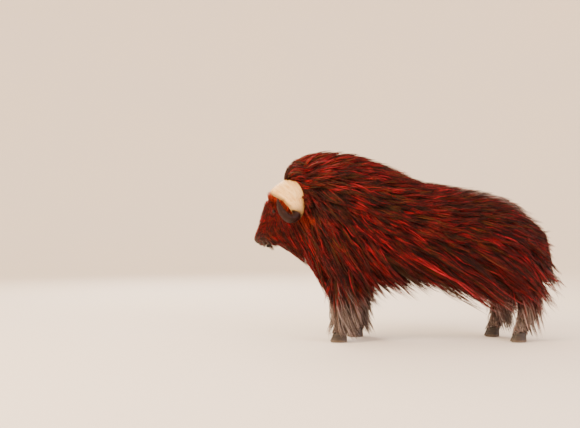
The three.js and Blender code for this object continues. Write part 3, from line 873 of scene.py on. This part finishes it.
def past_horns(path):
    """Keeps tufts that meet the horns' broad part either clear over it or well inside it."""
    points = path.reshape(-1, 3)
    beside, height, top, outward = horn_seat(points)
    sunk = np.maximum(height - top + 7, 0) * (height < top + 1.5) * (beside < 0.97)
    return (points - outward * sunk[:, None]).reshape(path.shape)


def ripple(p, size):
    """A smooth number from -1 to 1 that varies over the body, so that near hairs bend together."""
    x, y, z = p.T / size
    return np.sin(x + 1.6 * np.sin(z + 0.5 * y)) * np.cos(0.9 * z - 1.3 * np.sin(0.8 * x))


def tufts(name, surface, guides, each, rings, half, spread, gather, wave, tone, lay=None):
    """Tufts about guide hairs, as one mesh with markings, tone, hue, share to the tip and bake map."""
    number_of, steps = guides.shape[0], guides.shape[1] - 1
    count = number_of * each
    owner = np.repeat(np.arange(number_of), each)
    half, spread, gather, wave, tone = (
        np.broadcast_to(v, number_of)[owner, None] for v in (half, spread, gather, wave, tone)
    )
    share = np.linspace(0, 1, rings + 1)
    reach = chance.uniform(0.66, 1.0, count)
    at = reach[:, None] * share * steps
    low = np.minimum(at.astype(int), steps - 1)
    part = (at - low)[..., None]
    path = guides[owner[:, None], low] * (1 - part) + guides[owner[:, None], low + 1] * part
    offset = np.clip(chance.normal(0, 1, (count, 1, 3)), -1.8, 1.8) * spread[..., None]
    tight = gather * chance.uniform(0.8, 1.1, (count, 1))
    path = path + offset * (1 - tight * share**0.8)[..., None]
    tangent = unit(np.gradient(path, axis=1))
    where = surface[1](path[:, 0])
    out = normal_at(surface, *where)[:, None]
    sideways = unit(np.cross(tangent, out))
    start = chance.uniform(0, 6.28, number_of)[owner, None]
    pace = chance.uniform(3.5, 7.0, number_of)[owner, None]
    own = chance.uniform(0, 6.28, (count, 1))
    bend = wave * share * (np.sin(start + pace * share) + 0.4 * np.sin(own + 5 * share))
    path = path + sideways * bend[..., None]
    path[..., 2] = np.maximum(path[..., 2], LOWEST_TIP)
    beyond = np.maximum(np.abs(path[..., 1]) - SIDE_LIMIT, 0)
    path[..., 1] -= np.sign(path[..., 1]) * 0.75 * beyond
    path[..., 0] -= 0.5 * np.maximum(path[..., 0] - REAR_LIMIT, 0)
    if lay:
        path = lay(path)
    up = unit(np.cross(sideways, tangent))
    width = half * chance.uniform(0.65, 1.3, (count, 1)) * hair_taper(share)
    turns = np.radians([90, 210, 330])
    ring = (
        path[:, :-1, None]
        + sideways[:, :-1, None] * (width[:, :-1, None] * np.cos(turns))[..., None]
        + up[:, :-1, None] * (width[:, :-1, None] * FLATNESS * np.sin(turns))[..., None]
    )
    per = rings * 3 + 1
    points = np.concatenate([ring.reshape(count, rings * 3, 3), path[:, -1:]], 1).reshape(-1, 3)
    tris = []
    patch = []
    for r in range(rings):
        for c in range(3):
            a, b = r * 3 + c, r * 3 + (c + 1) % 3
            if r < rings - 1:
                tris += [(a, b, b + 3), (a, b + 3, a + 3)]
                patch += [((c, r), (c + 1, r), (c + 1, r + 1)), ((c, r), (c + 1, r + 1), (c, r + 1))]
            else:
                tris.append((a, b, rings * 3))
                patch.append(((c, r), (c + 1, r), (c + 0.5, rings)))
    tris.append((2, 1, 0))
    patch.append(((2, -0.3), (1, -0.3), (0, 0)))
    faces = (np.array(tris)[None] + (np.arange(count) * per)[:, None, None]).reshape(-1, 3)
    mesh = bpy.data.meshes.new(name)
    mesh.from_pydata(points / 1000, [], faces)
    mesh.shade_smooth()
    first, final = surface[3]
    roots = np.stack([(where[0] - first) / (final - first), where[1] / (2 * math.pi) + 0.5], -1)
    local = (np.array(patch, float) / [3, rings] - 0.5) * BAKE_PATCH
    spots = np.clip(roots, 0, 1)[:, None, None] * 0.99 + 0.005 + local[None]
    mesh.uv_layers.new(name="OFBake").data.foreach_set("uv", spots.reshape(-1).astype(np.float32))
    piece = bpy.data.objects.new(name, mesh)
    bpy.context.scene.collection.objects.link(piece)
    tones = np.clip(tone[:, 0] + chance.normal(0, TONE_SPREAD, count), 0, 1)
    hues = np.clip(0.5 * chance.random(number_of)[owner] + 0.5 * chance.random(count), 0, 1)
    tip = np.concatenate([np.repeat(share[:-1], 3), [1.0]])
    tones, hues, tips = np.repeat(tones, per), np.repeat(hues, per), np.tile(tip, count)
    mark(piece, points, tone=tones, hue=hues, tip=tips)
    piece.data.materials.append(coat_look)
    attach(piece, "root")


coat_look, blank, shader = material("guard_hair", 0.55, Specular_IOR_Level=0.22)
lit = coat_colour(blank, number(blank, "tone"), number(blank, "hue"))
# Each tuft is painted darker towards its root, near 0c0301: painted shade of the coat's depth between
# the locks.
painted_root_shade = number(blank, "tip").between(-0.25, 0.5)
feed(shader, "Base Color", painted_root_shade.tint("0c0301", lit))


def trunk_flow(sway, lift, swirl, shift):
    def flow(p, s):
        middle, up, down, _ = trunk_section(np.clip(p[:, 0], CROWN_FRONT + 60, RUMP_END - 120))
        level = (middle + up - p[:, 2]) / (up + down)
        low = ease(level, 0, 0.5)
        drop = drop_by_level(level) + back_drop(p[:, 0]) * (1 - low) + shoulder_drop(p[:, 0]) * low
        drop = drop + rump_drop(p[:, 0]) * (1 - drop / 90) - lift * s * s
        curve = swirl * (15 * ripple(p + shift, 52) + 10 * ripple(p - shift, 27))
        bend = np.radians(drop + curve * ease(s, -0.3, 0.4))
        aside = sway + 0.22 * ripple(p - 2 * shift, 66)
        return np.stack([np.cos(bend), aside, -np.sin(bend)], -1)

    return flow


LAYERS = 6
GUIDES = 600
LONGEST = 900.0
for layer in range(LAYERS):
    place, angle = scatter(trunk_surface, CROWN_FRONT + 6, RUMP_END - 4, GUIDES)
    root = trunk_point(place, angle)
    turn = np.abs(angle)
    rear = ease(place, 650, 930)
    neck = 1 - ease(place, -700, -560)
    depth = (46 + 16 * np.sin(angle) ** 2) * chance.uniform(0.2 + 0.1 * layer, 1.0, GUIDES)
    depth = depth * (0.3 + 0.7 * ease(place, -925, -830))
    sway = chance.normal(0, 0.08, GUIDES)
    lift = 16 + 10 * chance.random(GUIDES) + 46 * rear * chance.random(GUIDES)
    flow = trunk_flow(sway, lift, 1 + 0.8 * rear, chance.uniform(0, 400, 3))
    out = normal_at(trunk_surface, place, angle)
    trial = comb(trunk_surface, root, out, np.full(GUIDES, LONGEST), depth, flow)
    gone = (trial[..., 2] < hem(trial[..., 0])) | (trial[..., 0] > REAR_LIMIT + 30)
    gone[:, -1] = True
    skirt = gone.argmax(1) / (gone.shape[1] - 1) * LONGEST
    belly = ease(turn, math.radians(138), math.radians(165)) * (1 - neck)
    skirt = skirt * chance.uniform(0.76, 1.0, GUIDES) * (1 - 0.4 * belly)
    long = 290 * chance.uniform(0.66, 1.05, GUIDES)
    low = ease(turn, math.radians(93), math.radians(118))
    length = np.maximum(np.minimum(long * (1 - low) + skirt * low, skirt * 1.1), 110)
    guides = comb(trunk_surface, root, out, length, depth, flow)
    tufts(
        f"coat_layer_{layer + 1}", trunk_surface, guides,
        each=10, rings=5, half=3.1, spread=13.0 + 3 * rear,
        gather=0.4 + 0.4 * chance.random(GUIDES) * (1 - rear) + 0.5 * rear,
        wave=6 + 6 * chance.random(GUIDES) + 6 * rear,
        tone=np.clip(chance.normal(0.46, 0.12, GUIDES) + 0.05 * neck, 0, 1),
        lay=under_horns,
    )

# Crest: the hair of the crown, which starts behind the horns and is brushed up and back over the hump.
# Its roots stand on the front of the neck above the boss, and its tips lie on the mane.
CREST_GUIDES = 110
CREST_TRIES = 880
CREST_REACH = 62
spread_back = chance.uniform(-0.6, 1, CREST_TRIES)
turn_at = chance.uniform(-1.3, 1.3, CREST_TRIES)
reach = np.where(spread_back < 0, chance.random(CREST_TRIES) ** 0.5, 1)
root = trunk_point(CROWN_FRONT + CREST_REACH * np.maximum(spread_back, 0), turn_at, reach)
beside, height, top, _ = horn_seat(root)
root = root[(height > top - 6) | (beside > 1)][:CREST_GUIDES]
sway = root[:, 1] / 260 + chance.normal(0, 0.12, len(root))


def crest_flow(p, s):
    back = ease(s, 0.0, 0.6)
    rise = 0.95 - 0.86 * back - 0.5 * ease(root[:, 0], CROWN_FRONT, CROWN_FRONT + 60)
    return np.stack([0.1 + 0.85 * back + 0 * sway, sway, rise], -1)


forwards = np.broadcast_to([-1.0, 0.0, 0.0], root.shape)
length = chance.uniform(110, 205, len(root))
guides = comb(trunk_surface, root, forwards, length, 0, crest_flow, free=True)
tufts(
    "coat_crest", trunk_surface, guides,
    each=9, rings=5, half=3.3, spread=11.0, gather=0.45, wave=6.0, tone=0.45,
)

# Hair of the head: short and close down the face, longer on the cheeks and under the jaw.
# Along the front edge of the horns a bright short fringe points up and back over them.


def skull_nearest(p):
    offset = p - CROWN
    along = np.clip(offset @ ALONG, HEAD_BACK + 5, HEAD_LENGTH - 5)
    middle, above, below = head_section(along)
    rise = offset @ OVER - middle
    height = np.where(rise > 0, above, below)
    aside = power(p[:, 1] / head_half(along), 1 / HEAD_SIDE_POWER)
    return along, np.arctan2(aside, power(rise / height, 1 / HEAD_TOP_POWER))


skull_surface = (head_point, skull_nearest, 3.0, (HEAD_BACK, HEAD_LENGTH))


def clear_of_features(along, angle):
    """Which roots keep off the eyes, the nostrils and the line of the mouth."""
    root = head_point(along, angle)
    side = np.sign(angle)
    eye = (root - eye_at(side)) * [1, 0.4, 1]
    nostril = root - head_at(560, -42, side * 48)
    lips = mouth_line(np.clip((along - MOUTH_BACK) / MOUTH_LENGTH, 0, 1))
    lips = (along > MOUTH_BACK) & (np.abs((root - CROWN) @ OVER - lips) < 4)
    bare = (along > 556) & (np.abs(angle) < 1.0)
    return (norm(eye) > 18) & (norm(nostril) > 20) & ~lips & ~bare


def over_swellings(p):
    """Moves points inside the swellings of eyes, nostrils and lower lip out to their surface."""
    for centre, radii in (SOCKET, NOSTRIL_RIM, LOWER_LIP):
        offset = p - CROWN
        aside = offset @ ASIDE
        flip = np.where(aside < 0, -1, 1) if centre[1] else 1
        seat = np.stack([offset @ ALONG, aside * flip, offset @ OVER], -1) - centre
        inside = norm(seat / radii)[:, None] / 1.08
        moved = seat / np.clip(inside, 0.3, 1) + centre
        p = head_at(moved[:, 0], moved[:, 2], moved[:, 1] * flip)
    return p


def face_flow(lift, sway):
    down = ALONG * 0.94 + np.array([0.34, 0, -0.16])
    raised = -ALONG * 0.75 + OVER * 0.35 + np.array([0.35, 0.0, 0.25])

    def flow(p, s):
        way = down * (1 - lift[:, None]) + raised * lift[:, None]
        return way + sway[:, None] * ASIDE

    return flow


def head_roots(low, high, count, wanted):
    along, angle = scatter(skull_surface, low, high, count)
    kept = clear_of_features(along, angle) & wanted(along, np.abs(angle))
    along, angle = along[kept], angle[kept]
    return along, angle, np.abs(angle), head_point(along, angle), normal_at(skull_surface, along, angle)


along, angle, turn, root, out = head_roots(150, 568, 6200, lambda at, turn: turn < 2.25)
brow = bell(along, 208, 30)
fine = ease(along, 400, 540)
forehead = (1 - ease(along, 330, 450)) * (1 - ease(turn, 0.7, 1.3))
length = 34 - 14 * fine + 16 * brow + 16 * forehead + 22 * ease(turn, 1.2, 1.9) * (1 - fine)
length = length * chance.uniform(0.8, 1.15, len(along))
sway = chance.normal(0, 0.12, len(along)) + 0.15 * np.sin(angle) * brow
depth = 8 - 4 * fine + 10 * brow + 17 * forehead
guides = comb(
    skull_surface, over_swellings(root), out, length, depth, face_flow(brow**2, sway),
    steps=5, sunk=3.0, swell=over_swellings,
)
tufts(
    "coat_face", skull_surface, guides,
    each=2, rings=3, half=1.9 - 0.4 * fine, spread=4 - 1.5 * fine, gather=0.15, wave=1.0,
    tone=np.clip(chance.normal(0.56, 0.1, len(along)), 0, 1),
)

# Fringe under the horns: bright hair that stands up against their front edge and lies back over it.
# It grows from the brow and round the root of each horn.
along, angle, turn, root, out = head_roots(196, 258, 620, lambda at, turn: turn < 2.1)
outer = ease(turn, 0.7, 1.4)
way = chance.normal(0, 0.16, len(along)) + 0.6 * outer * np.sign(angle)
length = chance.uniform(60, 112, len(along)) + 26 * outer
depth = chance.uniform(26, 66, len(along)) + 22 * outer
flow = face_flow(chance.uniform(0.8, 1.0, len(along)), way)
guides = comb(
    skull_surface, root, out, length, depth, flow, steps=6, sunk=3.0, swell=over_swellings
)
tufts(
    "coat_fringe", skull_surface, guides,
    each=5, rings=4, half=1.9, spread=6.0, gather=0.3, wave=3.0, tone=0.58, lay=past_horns,
)

# Beard: long hair of the jaw and cheeks, which hides the seam between head and mane.
# The wind carries it back under the throat.
along, angle, turn, root, out = head_roots(60, 540, 900, lambda at, turn: turn > 1.35)
jaw = ease(turn, 1.35, 2.3)
long = 1 - ease(along, 390, 530)
sway = chance.normal(0, 0.08, len(along))
chin = ease(along, 320, 500)


def beard_flow(p, s):
    back = 0.18 + 0.34 * chin + (0.62 - 0.2 * chin) * s
    return np.stack([back, sway + 0.2 * ripple(p, 50), -0.97 + 0.2 * chin + 0.34 * s], -1)


length = (54 + 310 * long * (0.35 + 0.65 * jaw)) * chance.uniform(0.75, 1.1, len(along))
depth = 12 + 26 * jaw * long
guides = comb(
    skull_surface, root, out, length, depth, beard_flow, steps=8, sunk=5.0, swell=over_swellings
)
tufts(
    "coat_beard", skull_surface, guides,
    each=5, rings=4, half=2.8, spread=8.0, gather=0.4, wave=5.0,
    tone=np.clip(chance.normal(0.45, 0.15, len(along)), 0, 1),
)

# Hair of the ears: a soft brush along both edges of each ear and over its back.
# The ears lie low behind the horns, and their hair runs out into the mane.
EAR_GUIDES = 110
for word, side in SIDES.items():
    axis, front, across = ear_frame(side)
    t = chance.uniform(0.0, 0.92, EAR_GUIDES)
    edge = chance.uniform(-1, 1, EAR_GUIDES)
    root = EAR_ROOT[side] + (t * EAR_LENGTH)[:, None] * axis
    root = root + (edge * ear_half(t) * 0.9)[:, None] * across
    root = root + (3 - 9 * chance.random(EAR_GUIDES))[:, None] * front
    way = 0.9 * axis + edge[:, None] * 0.45 * across + np.array([0.25, 0, -0.3])
    way = way + chance.normal(0, 0.12, (EAR_GUIDES, 3))
    guides = comb(
        skull_surface, root, np.broadcast_to(front, root.shape), chance.uniform(36, 66, EAR_GUIDES), 0,
        lambda p, s: way + np.array([0.3, 0, -0.5]) * s,
        steps=5, sunk=0.0, free=True,
    )
    tufts(
        f"coat_ear_{word}", skull_surface, guides,
        each=6, rings=3, half=1.8, spread=4.0, gather=0.2, wave=1.5, tone=0.42,
    )

# Hair of the legs: hanging tufts over the upper leg, past the knee, and short frosted hair below.
# The wind lifts the tufts backwards, most on the forelegs.
for name, surface in leg_surfaces.items():
    wind, gust, full = (0.15, 0.3, 1.0) if legs[name][3] else (0.06, 0.75, 1.9)
    for word, slot, low, high, count, reach, depth, each, rings, half in (
        ("feather", "coat", 0.12, 0.62, 190, 310, 36, 6, 4, 3.2),
        ("stocking", "stocking", 0.5, 0.985, 420, 42, 3, 3, 3, 2.3),
    ):
        place, angle = scatter(surface, low, high, count)
        root = surface[0](place, angle)
        sway = chance.normal(0, 0.08, count)
        length = np.minimum(reach * chance.uniform(0.7, 1.1, count), (root[:, 2] - 25) / 0.9)
        guides = comb(
            surface, root, normal_at(surface, place, angle), length,
            depth * full * chance.uniform(0.3, 1.0, count),
            lambda p, s: np.stack([wind + gust * s * s + 0 * sway, sway, -0.92 + 0 * sway], -1),
            steps=6, sunk=5.0,
        )
        tufts(
            f"coat_{name}_{word}", surface, guides, each, rings, half,
            spread=half * 2.2, gather=0.5, wave=half,
            tone=np.clip(chance.normal(0.45, 0.18, count), 0, 1),
        )

# Tail: a short stump under a full switch of hair, which the wind lifts away from the rump.
# Its tufts hang from the whole of the stump.
TAIL_GUIDES = 120
place, angle = scatter(tail_surface, 0.12, 0.97, TAIL_GUIDES)
sway = np.cos(angle) * 0.1 + chance.normal(0, 0.05, TAIL_GUIDES)
root, out = tail_surface[0](place, angle), normal_at(tail_surface, place, angle)
length = (440 - 120 * place) * chance.uniform(0.7, 1.0, TAIL_GUIDES)
guides = comb(
    tail_surface, root, out, length, 20 * chance.uniform(0.3, 1.0, TAIL_GUIDES),
    lambda p, s: np.stack([0.18 + 0.42 * s * s + 0.2 * ripple(p, 40), sway, -0.95 + 0 * sway], -1),
    steps=8, sunk=5.0,
)
tufts(
    "coat_tail", tail_surface, guides,
    each=10, rings=5, half=3.3, spread=9.0, gather=0.75, wave=12.0,
    tone=np.clip(chance.normal(0.42, 0.16, TAIL_GUIDES), 0, 1),
)

# Stage: a plain pale floor that rises into a backdrop all round, soft studio light, and the camera.
# The light is warm from the left and cooler from the right. The camera looks level across the animal.
FLOOR_FLAT = 10.0
FLOOR_RISE = 6.0


def sweep_place(t, angle):
    run = t * (FLOOR_FLAT + 2 * FLOOR_RISE)
    up = np.clip((run - FLOOR_FLAT) / FLOOR_RISE, 0, math.pi / 2)
    radius = np.minimum(run, FLOOR_FLAT) + FLOOR_RISE * np.sin(up)
    height = FLOOR_RISE * (1 - np.cos(up)) + np.maximum(run - FLOOR_FLAT - FLOOR_RISE * math.pi / 2, 0)
    return np.stack([radius * np.cos(angle), radius * np.sin(angle), height], -1) * 1000


floor = wrap("floor", 60, 96, sweep_place)
edit(bpy.ops.mesh.flip_normals)
bpy.ops.object.shade_smooth()
floor_look, blank, shader = material("pale_floor", 0.95, Specular_IOR_Level=0.1)
feed(shader, "Base Color", noise(blank, 0.5).tint("f6ede2", "f0e9e6"))
floor.data.materials.append(floor_look)

world = bpy.data.worlds.new("studio")
bpy.context.scene.world = world
world.use_nodes = True
glow = world.node_tree.nodes["Background"]
glow.inputs["Color"].default_value = paint("ffe4c4")
glow.inputs["Strength"].default_value = 2.2

for spot, aim, size, watts, tint in (
    ((-6.0, -4.5, 5.5), (-0.2, 0, 0.8), 4.0, 950, "ffe4bf"),
    ((5.5, -5.0, 3.0), (0.2, 0, 0.7), 4.0, 320, "d8dcff"),
    ((-2.5, 5.5, 4.5), (0, 0, 1.0), 3.0, 420, "fff1e0"),
):
    lamp = add(bpy.ops.object.light_add, type="AREA", location=spot)
    lamp.data.size = size
    lamp.data.energy = watts
    lamp.data.color = paint(tint)[:3]
    way = np.array(aim) - np.array(spot)
    level = math.hypot(way[0], way[1])
    lamp.rotation_euler = (math.atan2(level, -way[2]), 0, math.atan2(-way[0], way[1]))

camera = add(
    bpy.ops.object.camera_add, location=(-0.8855, -7.444, 0.9625), rotation=(math.radians(90), 0, 0)
)
camera.data.lens = 60
camera.data.clip_end = 200
bpy.context.scene.camera = camera
